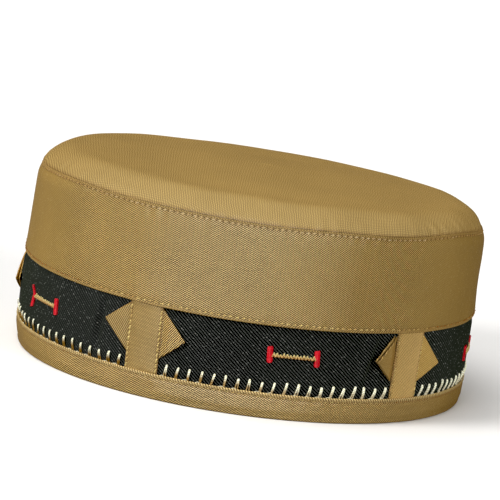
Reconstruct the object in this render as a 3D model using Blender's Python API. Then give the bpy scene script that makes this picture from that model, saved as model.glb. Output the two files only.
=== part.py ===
# A round kufi: twill crown and side panel, a black band with a hem below it,
# and five straps over the band, each with a folded cloth point on either side.
# Metres, +Z up. The hem rests on z = 0 and the long axis of the oval is X.
# Distances round the cap run along the band from its front, at -Y, towards +X.

import bmesh
import bpy
import numpy as np

# Oval plan, measured outside the cloth at the band
HALF_LENGTH = 0.1010
HALF_WIDTH = 0.0882

# Heights on the wall
HEM_TOP = 0.0113
BAND_TOP = 0.0403
SEAM = 0.0791

# Cloth thicknesses, and the clearance between neighbouring pieces
WALL = 0.0024
FLAP = 0.0010
BAND = 0.0012
CROWN = 0.0018
STRAP = 0.0012
POINT = 0.0010
GAP = 0.0003

# Softened corner of a folded edge
EDGE = 0.0004

# How far the edges of the black band are tucked behind the panel and the hem
BAND_TUCK_TOP = 0.0063
BAND_TUCK_BOTTOM = 0.0080

# The crown: a rounded shoulder above the seam, then a shallow dome
SHOULDER_RISE = 0.0080
SHOULDER_RUN = 0.0084
SHOULDER_CURVE = 1.15
DOME = 0.0035

# The seam leans a little, in metres of rise for each metre along X and along Y
LEAN_X = -0.0155
LEAN_Y = -0.0340

# Soft rises of the seam: degrees round the oval from +X, rise, spread in degrees
SEAM_RISES = (
    (-148.0, 0.0013, 16.0),
    (-33.5, 0.0020, 16.0),
)

# How far in from the seam the crown still follows those rises
RISE_REACH = 0.030

# How far the wall stands inside the plan: height, inset
WALL_LINE = (
    (0.0000, 0.0011),
    (0.0040, 0.0003),
    (0.0113, 0.0000),
    (0.0403, 0.0000),
    (0.0668, 0.0007),
    (0.0740, 0.0010),
    (0.0791, 0.0016),
)

# Straps: places of the two front ones along the band, and their width
FRONT_STRAPS = (-0.0482, 0.0722)
STRAP_COUNT = 5
STRAP_WIDTH = 0.0150

# Folded points: where the long edge ends below the band's top, and reach from the strap
POINT_BASE = 0.0228
POINT_REACH = 0.0114

# The tip is cut blunt at this share of the reach, and curls up with this power
POINT_BLUNT = 0.94
POINT_CURL = 1.5

# How each point sits: strap, side, how far the tip stands off the band, tip's height offset
POINTS = (
    (1, "left", 0.0006, 0.0015),
    (1, "right", 0.0002, -0.0012),
    (2, "left", 0.0026, -0.0004),
    (2, "right", 0.0024, -0.0026),
    (3, "left", 0.0005, 0.0006),
    (3, "right", 0.0012, -0.0008),
    (4, "left", 0.0010, 0.0004),
    (4, "right", 0.0006, -0.0010),
    (5, "left", 0.0008, 0.0008),
    (5, "right", 0.0023, 0.0000),
)

# Columns round the oval, and rows and columns of the smaller grids
ROUND = 72
PANEL_ROWS = 6
SHOULDER_ROWS = 8
DOME_ROWS = 6
STRAP_COLUMNS = 7
STRAP_ROWS = 4
POINT_STEPS = 5
POINT_ROWS = 3

# Edges sharper than this stay sharp under smooth shading
SMOOTH_DEGREES = 35.0

TAN = (0.40, 0.27, 0.11)
BLACK = (0.012, 0.013, 0.012)


def clear_scene():
    for thing in list(bpy.data.objects):
        bpy.data.objects.remove(thing, do_unlink=True)


def make_material(name, colour, roughness):
    material = bpy.data.materials.new(name)
    material.use_nodes = True
    shader = material.node_tree.nodes["Principled BSDF"]
    shader.inputs["Base Color"].default_value = (*colour, 1.0)
    shader.inputs["Roughness"].default_value = roughness
    shader.inputs["Metallic"].default_value = 0.0
    return material


def make_object(name, bm, material):
    bmesh.ops.recalc_face_normals(bm, faces=bm.faces)
    mesh = bpy.data.meshes.new(name)
    bm.to_mesh(mesh)
    bm.free()
    mesh.materials.append(material)
    mesh.shade_smooth()
    mesh.set_sharp_from_angle(angle=np.radians(SMOOTH_DEGREES))
    piece = bpy.data.objects.new(name, mesh)
    bpy.context.collection.objects.link(piece)
    return piece


def arc_table():
    """Angles round the oval against distance along it, from the front at -Y."""
    angles = np.linspace(-np.pi / 2, 1.5 * np.pi, 2881)
    x = HALF_LENGTH * np.cos(angles)
    y = HALF_WIDTH * np.sin(angles)
    steps = np.hypot(np.diff(x), np.diff(y))
    return angles, np.concatenate([[0.0], np.cumsum(steps)])


ARC_ANGLES, ARC_LENGTHS = arc_table()
GIRTH = ARC_LENGTHS[-1]


def angle_at(place):
    return np.interp(place % GIRTH, ARC_LENGTHS, ARC_ANGLES)


def inset_at(height):
    heights, insets = zip(*WALL_LINE)
    return np.interp(height, heights, insets)


def seam_lift(angle, x, y):
    """How much the seam stands above its mean height over the point x, y."""
    lift = LEAN_X * x + LEAN_Y * y
    for centre, rise, spread in SEAM_RISES:
        away = (np.degrees(angle) - centre + 180.0) % 360.0 - 180.0
        lift += rise * np.exp(-((away / spread) ** 2))
    return lift


def wall_point(angle, depth, height):
    """A point of the wall, depth metres inside its outer surface."""
    inset = inset_at(height) + depth
    x = (HALF_LENGTH - inset) * np.cos(angle)
    y = (HALF_WIDTH - inset) * np.sin(angle)
    share = np.clip((height - BAND_TOP) / (SEAM - BAND_TOP), 0.0, 1.0)
    return x, y, height + share * seam_lift(angle, x, y)


def crown_point(angle, run, rise):
    """A point of the crown, run metres in from the seam and rise metres above it."""
    inset = inset_at(SEAM) + run
    x = (HALF_LENGTH - inset) * np.cos(angle)
    y = (HALF_WIDTH - inset) * np.sin(angle)
    lean = LEAN_X * x + LEAN_Y * y
    fade = max(0.0, 1.0 - run / RISE_REACH) ** 2
    return x, y, SEAM + rise + lean + fade * (seam_lift(angle, x, y) - lean)


def bridge_columns(bm, rings, closed):
    """Join rings of vertices, each ring one row of the surface, into quads."""
    pairs = list(zip(rings, rings[1:]))
    if closed:
        pairs.append((rings[-1], rings[0]))
    for lower, upper in pairs:
        for i in range(ROUND):
            j = (i + 1) % ROUND
            bm.faces.new((lower[i], lower[j], upper[j], upper[i]))


def make_wall_ring(name, section, material):
    """A closed section of (depth, height) rows carried round the oval."""
    bm = bmesh.new()
    rings = []
    for depth, height in section:
        angles = np.arange(ROUND) * 2.0 * np.pi / ROUND
        rings.append([bm.verts.new(wall_point(a, depth, height)) for a in angles])
    bridge_columns(bm, rings, closed=True)
    return make_object(name, bm, material)


def make_side_panel(material):
    """The tall panel. Its folded lower edge laps over the top of the black band."""
    step = BAND_TOP + BAND_TUCK_TOP + GAP
    rise = np.linspace(step, SEAM - EDGE, PANEL_ROWS)
    outside = [(EDGE, BAND_TOP), (0.0, BAND_TOP + EDGE)] + [(0.0, h) for h in rise] + [(EDGE, SEAM)]
    inside = [(WALL, SEAM)] + [(WALL, h) for h in reversed(rise[:-1])]
    lap = [(FLAP, step), (FLAP, BAND_TOP)]
    return make_wall_ring("side_panel", outside + inside + lap, material)


def make_black_band(material):
    top = BAND_TOP + BAND_TUCK_TOP
    bottom = HEM_TOP - BAND_TUCK_BOTTOM
    heights = (bottom, HEM_TOP, (HEM_TOP + BAND_TOP) / 2, BAND_TOP, top)
    outside = [(FLAP + GAP, h) for h in heights]
    inside = [(FLAP + GAP + BAND, h) for h in reversed(heights)]
    return make_wall_ring("black_band", outside + inside, material)


def make_hem_band(material):
    """The hem, folded under the black band and lapping over its lower edge."""
    fold = HEM_TOP - BAND_TUCK_BOTTOM - GAP
    inner = FLAP + GAP + BAND
    outside = [(EDGE, 0.0), (0.0, EDGE), (0.0, fold), (0.0, (fold + HEM_TOP) / 2), (0.0, HEM_TOP - EDGE)]
    lap = [(EDGE, HEM_TOP), (FLAP, HEM_TOP), (FLAP, (fold + HEM_TOP) / 2), (FLAP, fold)]
    under = [(inner, fold), (inner, 0.0)]
    return make_wall_ring("hem_band", outside + lap + under, material)


def shoulder_rise(run):
    left = 1.0 - np.clip(run / SHOULDER_RUN, 0.0, 1.0)
    return SHOULDER_RISE * (1.0 - left ** SHOULDER_CURVE) ** (1.0 / SHOULDER_CURVE)


def dome_rise(run):
    reach = HALF_LENGTH - inset_at(SEAM)
    return DOME * (1.0 - ((reach - run) / reach) ** 2)


def make_crown(material):
    """The crown: a shoulder standing on the seam and a shallow dome, one cloth thick."""
    bm = bmesh.new()
    angles = np.arange(ROUND) * 2.0 * np.pi / ROUND
    shoulder = np.linspace(0.0, SHOULDER_RUN, SHOULDER_ROWS)
    last = HALF_WIDTH - inset_at(SEAM) - SHOULDER_RUN
    dome = np.linspace(SHOULDER_RUN + 2 * WALL, last, DOME_ROWS)
    shrink = (SHOULDER_RISE - CROWN) / SHOULDER_RISE
    outer = [(r, GAP + shoulder_rise(r) + dome_rise(r)) for r in (*shoulder, *dome)]
    inner = [(r + WALL, GAP + shrink * (shoulder_rise(r) + dome_rise(r))) for r in shoulder[::2]]
    inner += [(r, GAP + shoulder_rise(r) + dome_rise(r) - CROWN) for r in dome]

    def ring(run, rise):
        return [bm.verts.new(crown_point(a, run, rise)) for a in angles]

    outer_rings = [ring(*row) for row in outer]
    inner_rings = [ring(*row) for row in inner]
    bridge_columns(bm, list(reversed(inner_rings)) + outer_rings, closed=False)
    for edge, drop in ((outer_rings[-1], 0.0), (inner_rings[-1], CROWN)):
        centre = bm.verts.new((0.0, 0.0, SEAM + GAP + SHOULDER_RISE + DOME - drop))
        for i in range(ROUND):
            bm.faces.new((edge[i], edge[(i + 1) % ROUND], centre))
    return make_object("crown", bm, material)


def make_sheet(name, outside, inside, material):
    """A solid between two equal grids of points, an outer and an inner face."""
    bm = bmesh.new()
    faces = [[[bm.verts.new(p) for p in row] for row in grid] for grid in (outside, inside)]
    rows, columns = len(outside), len(outside[0])
    for grid in faces:
        for r in range(rows - 1):
            for c in range(columns - 1):
                bm.faces.new((grid[r][c], grid[r][c + 1], grid[r + 1][c + 1], grid[r + 1][c]))
    rim = [(0, c) for c in range(columns)] + [(r, columns - 1) for r in range(1, rows)]
    rim += [(rows - 1, c) for c in range(columns - 2, -1, -1)] + [(r, 0) for r in range(rows - 2, 0, -1)]
    for (r0, c0), (r1, c1) in zip(rim, rim[1:] + rim[:1]):
        bm.faces.new((faces[0][r0][c0], faces[0][r1][c1], faces[1][r1][c1], faces[1][r0][c0]))
    return make_object(name, bm, material)


def strap_places():
    """Middles of the straps: the two front ones, and the rest shared out evenly."""
    first, second = FRONT_STRAPS
    left_over = GIRTH - (second - first)
    pitch = left_over / (STRAP_COUNT - 1)
    return [first] + [second + i * pitch for i in range(STRAP_COUNT - 1)]


def make_strap(number, place, material):
    """An upright strip on the black band, from the hem to the side panel."""
    back = FLAP
    front = back - STRAP
    heights = np.linspace(HEM_TOP + GAP, BAND_TOP - GAP, STRAP_ROWS)
    across = np.linspace(-STRAP_WIDTH / 2, STRAP_WIDTH / 2, STRAP_COLUMNS)
    grids = []
    for depth in (front, back):
        grids.append([[wall_point(angle_at(place + a), depth, h) for a in across] for h in heights])
    return make_sheet(f"strap_{number}", grids[0], grids[1], material)


def make_point(number, side, place, tip_off, tip_rise, material):
    """A folded triangle of cloth beside a strap, its long edge along the strap."""
    sign = -1.0 if side == "left" else 1.0
    edge = place + sign * (STRAP_WIDTH / 2 + GAP)
    top = BAND_TOP - GAP
    middle = top - POINT_BASE / 2 + tip_rise
    grids = []
    for back in (FLAP - POINT, FLAP):
        grid = []
        for share in np.linspace(0.0, POINT_BLUNT, POINT_STEPS):
            high = top + share * (middle - top)
            low = top - POINT_BASE + share * (middle - top + POINT_BASE)
            depth = back - tip_off * share ** POINT_CURL
            angle = angle_at(edge + sign * share * POINT_REACH)
            grid.append([wall_point(angle, depth, h) for h in np.linspace(low, high, POINT_ROWS)])
        grids.append(grid)
    return make_sheet(f"point_{number}_{side}", grids[0], grids[1], material)


def main():
    clear_scene()
    twill = make_material("tan_twill", TAN, 0.72)
    crown_twill = make_material("crown_twill", TAN, 0.68)
    hem_twill = make_material("hem_twill", TAN, 0.74)
    denim = make_material("black_denim", BLACK, 0.85)
    strap_twill = make_material("strap_twill", TAN, 0.70)
    point_twill = make_material("point_twill", TAN, 0.66)

    make_crown(crown_twill)
    make_side_panel(twill)
    make_black_band(denim)
    make_hem_band(hem_twill)
    places = strap_places()
    for number, place in enumerate(places, start=1):
        make_strap(number, place, strap_twill)
    for number, side, tip_off, tip_rise in POINTS:
        make_point(number, side, places[number - 1], tip_off, tip_rise, point_twill)


main()
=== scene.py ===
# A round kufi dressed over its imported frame: twill crown, side panel and hem, a black denim
# band with five straps and their folded points, topstitching, whipstitches and a small motif.
# Metres. Places run round the cap along the band, from the front at -Y towards +X.

import math
from itertools import product

import bmesh
import bpy
import numpy as np
from mathutils import Matrix, Vector


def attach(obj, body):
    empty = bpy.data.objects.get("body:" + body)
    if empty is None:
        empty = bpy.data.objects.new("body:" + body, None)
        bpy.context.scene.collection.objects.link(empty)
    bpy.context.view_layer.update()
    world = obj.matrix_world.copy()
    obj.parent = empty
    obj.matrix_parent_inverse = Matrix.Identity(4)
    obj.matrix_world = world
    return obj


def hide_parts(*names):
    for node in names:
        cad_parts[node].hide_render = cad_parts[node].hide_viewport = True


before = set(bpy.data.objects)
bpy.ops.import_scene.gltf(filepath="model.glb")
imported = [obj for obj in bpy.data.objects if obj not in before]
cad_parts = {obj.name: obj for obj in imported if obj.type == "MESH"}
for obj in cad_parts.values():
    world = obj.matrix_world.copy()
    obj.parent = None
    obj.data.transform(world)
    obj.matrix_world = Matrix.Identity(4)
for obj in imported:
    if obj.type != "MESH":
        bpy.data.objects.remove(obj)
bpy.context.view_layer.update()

mm = 0.001
fullTurn = 2 * math.pi

# The cap's own shape, as the solids have it
shape = {
    "halfLength": 0.1010, "halfWidth": 0.0882,  # oval outside the cloth at the band
    "hemTop": 0.0113, "bandTop": 0.0403, "seam": 0.0791,
    "wallHeights": (0.0, 0.0040, 0.0113, 0.0403, 0.0668, 0.0740, 0.0791),
    "wallInsets": (0.0011, 0.0003, 0.0, 0.0, 0.0007, 0.0010, 0.0016),
    "leanX": -0.0155, "leanY": -0.0340,
    # degrees, rise, spread
    "seamRises": ((-148.0, 0.0009, 16.0), (-72.0, 0.0010, 16.0), (-42.0, 0.0009, 22.0), (-33.5, 0.0020, 16.0),
                  (-10.0, 0.0006, 20.0)),
    # the seam is drawn in at the cap's ends, between these distances from the front
    "tuck": 0.0010, "tuckReach": 0.0032, "tuckFrom": 0.085, "tuckFull": 0.120,
    "riseReach": 0.030,
    "frontStraps": (-0.0482, 0.0722), "strapCount": 5,
}

arcSteps = 2881
arcAngles = np.linspace(-1.5 * math.pi, 0.5 * math.pi, arcSteps)
arcLengths = np.concatenate([[0.0], np.cumsum(np.hypot(
    np.diff(shape["halfLength"] * np.cos(arcAngles)), np.diff(shape["halfWidth"] * np.sin(arcAngles))))])
girth = arcLengths[-1]
arcLengths = arcLengths - girth / 2  # 0 at the front, the join at the back


def angleAt(place):
    wrapped = (np.asarray(place) + girth / 2) % girth - girth / 2
    return np.interp(wrapped, arcLengths, arcAngles)


def degreesFrom(angle, centre):
    return (np.degrees(angle) - centre + 180.0) % 360.0 - 180.0


def bump(x, width):
    return np.exp(-((np.asarray(x) / width) ** 2))


def seamLift(angle, x, y):
    lift = shape["leanX"] * x + shape["leanY"] * y
    for centre, rise, spread in shape["seamRises"]:
        lift = lift + rise * bump(degreesFrom(angle, centre), spread)
    return lift


def wallPoint(place, depth, height):
    # depth is measured inward from the wall's outer line
    place, depth, height = np.broadcast_arrays(place, depth, height)
    angle = angleAt(place)
    inset = np.interp(height, shape["wallHeights"], shape["wallInsets"]) + depth
    x = (shape["halfLength"] - inset) * np.cos(angle)
    y = (shape["halfWidth"] - inset) * np.sin(angle)
    share = np.clip((height - shape["bandTop"]) / (shape["seam"] - shape["bandTop"]), 0.0, 1.0)
    return np.stack([x, y, height + share * seamLift(angle, x, y)], axis=-1)


def awayFrom(place, centre):
    return (np.asarray(place) - centre + girth / 2) % girth - girth / 2


def smoothStep(low, high, x):
    t = np.clip((np.asarray(x) - low) / (high - low), 0.0, 1.0)
    return t * t * (3.0 - 2.0 * t)


def roundWaves(place, shortest, longest, count, seed):
    # uneven waves along the girth that close on themselves, about -1 to 1
    dice = np.random.default_rng(seed)
    numbers = dice.integers(round(girth / longest), round(girth / shortest) + 1, count)
    phases = dice.uniform(0.0, fullTurn, count)
    total = sum(np.cos(fullTurn * n * np.asarray(place) / girth + p) for n, p in zip(numbers, phases))
    return total / math.sqrt(count) / 1.4


def flatWaves(x, y, shortest, longest, count, seed):
    dice = np.random.default_rng(seed)
    total = np.zeros(np.broadcast(x, y).shape)
    for _ in range(count):
        turn, phase = dice.uniform(0.0, fullTurn, 2)
        rate = fullTurn / dice.uniform(shortest, longest)
        total = total + np.cos(rate * (x * math.cos(turn) + y * math.sin(turn)) + phase)
    return total / math.sqrt(count) / 1.4


def seamTuck(place, away):
    ends = smoothStep(shape["tuckFrom"], shape["tuckFull"], np.abs(awayFrom(place, 0.0)))
    return shape["tuck"] * ends * bump(away, shape["tuckReach"])


# Shader helpers
class Wire:
    # a node's output that takes + - * / with numbers and other outputs
    def __init__(self, socket):
        self.socket = socket

    def __add__(self, other):
        return calc("ADD", self, other)

    def __sub__(self, other):
        return calc("SUBTRACT", self, other)

    def __rsub__(self, other):
        return calc("SUBTRACT", other, self)

    def __mul__(self, other):
        return calc("MULTIPLY", self, other)

    def __truediv__(self, other):
        return calc("DIVIDE", self, other)


def feed(socket, value):
    if isinstance(value, Wire):
        socket.id_data.links.new(value.socket, socket)
    else:
        socket.default_value = value


def addNode(kind, inputs, tree=None, **settings):
    # inputs by name or number; without a tree it goes where the outputs among them are
    tree = tree or next(value.socket.id_data for value in inputs.values() if isinstance(value, Wire))
    node = tree.nodes.new(kind)
    for name, setting in settings.items():
        setattr(node, name, setting)
    for key, value in inputs.items():
        feed(node.inputs[key], value)
    return node


def calc(operation, *values):
    return Wire(addNode("ShaderNodeMath", dict(enumerate(values)), operation=operation).outputs[0])


def noise(vector, scale, detail=2.0, roughness=0.5):
    inputs = {"Vector": vector, "Scale": scale, "Detail": detail, "Roughness": roughness}
    return Wire(addNode("ShaderNodeTexNoise", inputs).outputs["Fac"])


def remap(value, low, high, toLow=0.0, toHigh=1.0):
    return Wire(addNode("ShaderNodeMapRange", dict(enumerate((value, low, high, toLow, toHigh)))).outputs[0])


def mixColour(share, first, second, blend="MIX"):
    node = addNode("ShaderNodeMix", {0: share, 6: first, 7: second}, data_type="RGBA", blend_type=blend)
    return Wire(node.outputs[2])


def splitVector(vector):
    return [Wire(socket) for socket in addNode("ShaderNodeSeparateXYZ", {0: vector}).outputs]


def newGroup(name, outputs, **inputs):
    # named inputs with their defaults, None for a vector; gives back what comes in by each
    group = bpy.data.node_groups.new(name, "ShaderNodeTree")
    for label, value in inputs.items():
        kind = "NodeSocketVector" if value is None else "NodeSocketFloat"
        socket = group.interface.new_socket(label, in_out="INPUT", socket_type=kind)
        if value is not None:
            socket.default_value = value
    for label in outputs:
        group.interface.new_socket(label, in_out="OUTPUT", socket_type="NodeSocketFloat")
    return [Wire(socket) for socket in group.nodes.new("NodeGroupInput").outputs[:len(inputs)]]


def finishGroup(**outputs):
    group = next(iter(outputs.values())).socket.id_data
    end = group.nodes.new("NodeGroupOutput")
    for label, value in outputs.items():
        feed(end.inputs[label], value)
    return group


def placeGroup(group, **inputs):
    return [Wire(socket) for socket in addNode("ShaderNodeGroup", inputs, node_tree=group).outputs]


def rgb(colour):
    # a colour as read off a swatch, 0 to 255, made linear
    return tuple(((c / 255 + 0.055) / 1.055) ** 2.4 if c > 10 else c / 255 / 12.92 for c in colour) + (1.0,)


print("shader groups")


# Twill: slanted wales, broken along their length by the yarns that pass over them
def makeWeaveGroup():
    cloth, walePitch, waleAngle, yarnPitch, yarnDepth, wobble, sharp = newGroup(
        "weave", ("Height", "Slub"), Cloth=None, WalePitch=0.72, WaleAngle=0.0, YarnPitch=0.5,
        YarnDepth=0.4, Wobble=0.2, Sharp=1.5)
    x, y, _ = splitVector(cloth)
    cosine, sine = calc("COSINE", waleAngle), calc("SINE", waleAngle)
    phase = (x * cosine + y * sine) / walePitch + (noise(cloth, 0.22) - 0.5) * wobble
    wale = remap(calc("COSINE", phase * fullTurn) * sharp, -1.0, 1.0)  # flat crests as Sharp passes 1
    yarns = calc("ROUND", phase) * 0.5 + (y * cosine - x * sine) / yarnPitch
    grain = calc("COSINE", yarns * fullTurn) * 0.5 + 0.5
    height = wale * (1.0 - (1.0 - grain) * yarnDepth)
    speck = remap(noise(cloth, 0.9, 1.0), 0.60, 0.72)
    return finishGroup(Height=height, Slub=speck * height)


# Slow changes of shade over a cloth, by place on the cap
def makeShadeGroup():
    position, scale, amount = newGroup("clothShade", ("Shade",), Position=None, Scale=28.0, Amount=0.1)
    both = noise(position, scale * 9.0) * 0.35 + noise(position, scale, 3.0, 0.55)
    return finishGroup(Shade=(both - 0.675) * amount * 4.0 + 1.0)


# A pressed or worn edge: 1 on the fold, 0 past the width; Cloth's third value is the distance.
# Rib is painted shade between the slanted yarns that stand out along the fold, Ridge a painted highlight on
# them
def makeEdgeGroup():
    cloth, width, ribPitch, ribSlant = newGroup(
        "foldEdge", ("Edge", "Rib", "Ridge"), Cloth=None, Width=1.2, RibPitch=1.2, RibSlant=0.6)
    x, _, away = splitVector(cloth)
    edge = remap(away + (noise(cloth, 0.6) * 0.5 - 0.25), 0.0, width, 1.0, 0.0)
    wave = calc("COSINE", (x - away * ribSlant) / ribPitch * fullTurn)
    ridge = calc("POWER", wave * 0.5 + 0.5, 2.0)
    return finishGroup(Edge=edge, Rib=edge * (wave * -0.5 + 0.5), Ridge=edge * ridge)


# The dent that a line of stitching presses: deeper between one stitch and the next
def makeDentGroup():
    along, away, pitch, width = newGroup(
        "stitchDent", ("Dent", "Hole"), Along=0.0, Away=0.0, Pitch=2.7, Width=0.55)
    near = away / width
    line = calc("POWER", math.e, near * near * -1.0)
    gaps = remap(calc("COSINE", along / pitch * fullTurn), 0.55, 1.0)
    return finishGroup(Dent=line, Hole=line * gaps)


# Plies of a twisted thread; Cloth holds length, turns round the thread and tone
def makePlyGroup():
    cloth, plyPitch, plies = newGroup("threadPly", ("Height", "Tone"), Cloth=None, PlyPitch=0.5, Plies=2.0)
    length, turns, tone = splitVector(cloth)
    wave = calc("COSINE", (turns * plies + length / plyPitch) * fullTurn)
    fluff = noise(cloth, 3.0) * 0.5 - 0.25
    return finishGroup(Height=wave * 0.5 + 0.5 + fluff, Tone=tone)


weaveGroup = makeWeaveGroup()
shadeGroup = makeShadeGroup()
edgeGroup = makeEdgeGroup()
dentGroup = makeDentGroup()
plyGroup = makePlyGroup()


def newMaterial(name, roughness, specular):
    material = bpy.data.materials.new(name)
    material.use_nodes = True
    shader = material.node_tree.nodes["Principled BSDF"]
    shader.inputs["Specular IOR Level"].default_value = specular
    shader.inputs["Roughness"].default_value = roughness
    return material, material.node_tree, shader


def clothPlace(tree):
    return Wire(addNode("ShaderNodeAttribute", {}, tree, attribute_name="cloth").outputs["Vector"])


def setBump(shader, height, distance):
    node = addNode("ShaderNodeBump", {"Height": height, "Strength": 1.0, "Distance": distance})
    feed(shader.inputs["Normal"], Wire(node.outputs["Normal"]))


tanTwill = {  # pitches and widths in millimetres on the cloth, the wale angle from the girth line
    "walePitch": 0.72, "waleAngle": 128.0, "yarnPitch": 0.62, "yarnDepth": 0.45, "wobble": 0.5, "sharp": 1.8,
    "crest": (226, 188, 104), "groove": (30, 16, 4), "contrast": 1.2, "tone": 1.0,
    # centre on the girth, near, far, and what tone or weave is multiplied by past far
    "fade": (0.0, 0.0, 1.0, 1.0), "smooth": (0.0, 0.0, 1.0, 1.0),
    "edge": (222, 180, 100), "edgeWidth": 1.3, "edgeAmount": 0.6, "slub": (236, 210, 150), "slubAmount": 0.2,
    # between and ribDark: painted shade between the ribs along a fold; ridge and ribLight: a painted
    # highlight on them
    "between": (70, 40, 12), "ridge": (216, 180, 108), "ribDark": 0.0, "ribLight": 0.0, "foldWeave": 1.0,
    # hole, holeDark and lineDark: painted shade in the stitch holes and along their lines
    "hole": (84, 50, 18), "holeDark": 0.75, "lineDark": 0.12, "dentDepth": 1.0,
    "shadeScale": 26.0, "shadeAmount": 0.10,
    "roughness": 0.42, "grooveRough": 1.0, "specular": 0.30, "relief": 0.00018,
    # by how the cloth faces the eye: painted sheen, paler crests and a lighter tint, where it faces; where it
    # turns away, painted shade deepens its colour and its weave shows less
    "turn": 0.7, "paintedSheenCrest": (246, 214, 146), "paintedSheenReach": 0.2, "paintedFacingTint": (1.0, 1.0, 1.0),
    "paintedTurnedTint": (0.74, 0.66, 0.42), "turnedWeave": 0.1,
}
stitchPitch = 2.7 * mm  # along the machine-sewn lines
weaveMean = 0.39  # the weave's average height, so that contrast leaves the cloth's shade alone


def sideShare(along, side):
    centre, near, far, share = side
    return remap(calc("ABSOLUTE", along - centre), near, far, 1.0, share)


# Lines of stitching: (the cloth's axis that crosses the line, where, how much shade is painted in its holes)
def makeTwill(name, look, stitchLines=()):
    material, tree, shader = newMaterial(name, look["roughness"], look["specular"])
    cloth = clothPlace(tree)
    axes = splitVector(cloth)[:2]
    position = Wire(addNode("ShaderNodeTexCoord", {}, tree).outputs["Object"])
    turned = Wire(addNode("ShaderNodeLayerWeight", {"Blend": look["turn"]}, tree).outputs["Facing"])
    weave, slub = placeGroup(
        weaveGroup, Cloth=cloth, WalePitch=look["walePitch"], WaleAngle=math.radians(look["waleAngle"]),
        YarnPitch=look["yarnPitch"], YarnDepth=look["yarnDepth"], Wobble=look["wobble"], Sharp=look["sharp"])
    shade = placeGroup(shadeGroup, Position=position, Scale=look["shadeScale"], Amount=look["shadeAmount"])[0]
    edge, rib, ridge = placeGroup(edgeGroup, Cloth=cloth, Width=look["edgeWidth"])
    # painted sheen: the crests turn paler where the cloth faces the eye
    crest = mixColour(remap(turned, 0.0, look["paintedSheenReach"]), rgb(look["paintedSheenCrest"]), rgb(look["crest"]))
    crest = mixColour(edge * look["edgeAmount"], crest, rgb(look["edge"]))
    shown = remap(turned, 0.5, 0.85, 1.0, look["turnedWeave"]) * sideShare(axes[0], look["smooth"])
    onFold = remap(edge, 0.0, 1.0, look["contrast"], look["contrast"] * look["foldWeave"])
    colour = mixColour((weave - weaveMean) * (shown * onFold) + weaveMean, rgb(look["groove"]), crest)
    # painted sheen where the cloth faces the eye, painted shade where it turns away
    paintedViewTint = mixColour(turned * turned, look["paintedFacingTint"] + (1.0,), look["paintedTurnedTint"] + (1.0,))
    colour = mixColour(1.0, colour, paintedViewTint, "MULTIPLY")
    # the yarn's own slub flecks; painted shade between the ribs on a fold and a painted highlight on their
    # ridges
    for where, amount, other in ((slub, "slubAmount", "slub"), (rib, "ribDark", "between"),
                                 (ridge, "ribLight", "ridge")):
        colour = mixColour(where * look[amount], colour, rgb(look[other]))
    height = rib * (-1.5 * look["ribDark"]) + weave
    holes = 0.0
    for axis, where, dark in stitchLines:
        dent, hole = placeGroup(dentGroup, Along=axes[1 - axis], Away=axes[axis] - where / mm,
                                Pitch=stitchPitch / mm)
        # painted shade in the stitch holes and along the pressed line
        paintedStitchShade = calc("MAXIMUM", hole * (look["holeDark"] * dark), dent * look["lineDark"])
        colour = mixColour(paintedStitchShade, colour, rgb(look["hole"]))
        holes = hole + holes
        height = dent * -look["dentDepth"] + height
    # tone by place round the girth: painted light brightens the black band from the cap's right side round to
    # the back; the hem gets darker towards the cap's two ends
    fade = sideShare(axes[0], look["fade"]) * look["tone"]
    feed(shader.inputs["Base Color"], mixColour(1.0, colour, shade * fade, "MULTIPLY"))
    rough = remap(weave, 0.0, 1.0, look["grooveRough"], look["roughness"])
    feed(shader.inputs["Roughness"], calc("MAXIMUM", rough, holes))
    setBump(shader, height * shown, look["relief"])
    return material


def makeThread(name, light, deep, between, plyPitch, roughness, specular, relief, paintedGlow=0.0):
    material, tree, shader = newMaterial(name, roughness, specular)
    height, tone = placeGroup(plyGroup, Cloth=clothPlace(tree), PlyPitch=plyPitch)
    body = mixColour(tone, rgb(light), rgb(deep))
    # painted shade in the grooves between the plies
    dark = mixColour(1.0, body, rgb(between), "MULTIPLY")
    feed(shader.inputs["Base Color"], mixColour(remap(height, 0.0, 0.7), dark, body))
    # painted light: the emission makes the thread glow by itself
    feed(shader.inputs["Emission Color"], body)
    shader.inputs["Emission Strength"].default_value = paintedGlow
    setBump(shader, height, relief)
    return material


# Mesh helpers
def addPiece(name, points, faces, cloth, material, replaced=()):
    # points (n, 3); faces, lists of indices; cloth, one (x, y, edge) in millimetres per face corner
    mesh = bpy.data.meshes.new(name)
    mesh.from_pydata(np.asarray(points).reshape(-1, 3).tolist(), [], faces)
    mesh.attributes.new("cloth", "FLOAT_VECTOR", "CORNER").data.foreach_set(
        "vector", np.asarray(cloth, dtype=np.float32).ravel())
    mesh.materials.append(material)
    mesh.shade_smooth()
    piece = bpy.data.objects.new(name, mesh)
    bpy.context.collection.objects.link(piece)
    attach(piece, "root")
    if replaced:
        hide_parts(*replaced)
    return piece


def gridFaces(rows, columns, wrapRows, wrapColumns):
    # faces of a grid, and the corners of the cloth grid, which has one more row and column
    r, c = np.indices((rows - (not wrapRows), columns - (not wrapColumns)))
    r = np.stack([r, r, r + 1, r + 1], axis=-1).reshape(-1, 4)
    c = np.stack([c, c + 1, c + 1, c], axis=-1).reshape(-1, 4)
    return (r % rows) * columns + c % columns, r * (columns + 1) + c


def tubeFaces(rows, sides):
    # a grid closed round its columns, with a cap at each end, and the corners of its cloth grid
    faces, corner = gridFaces(rows, sides, False, True)
    return faces.tolist() + [list(range(sides))[::-1], [(rows - 1) * sides + k for k in range(sides)]], corner


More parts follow.
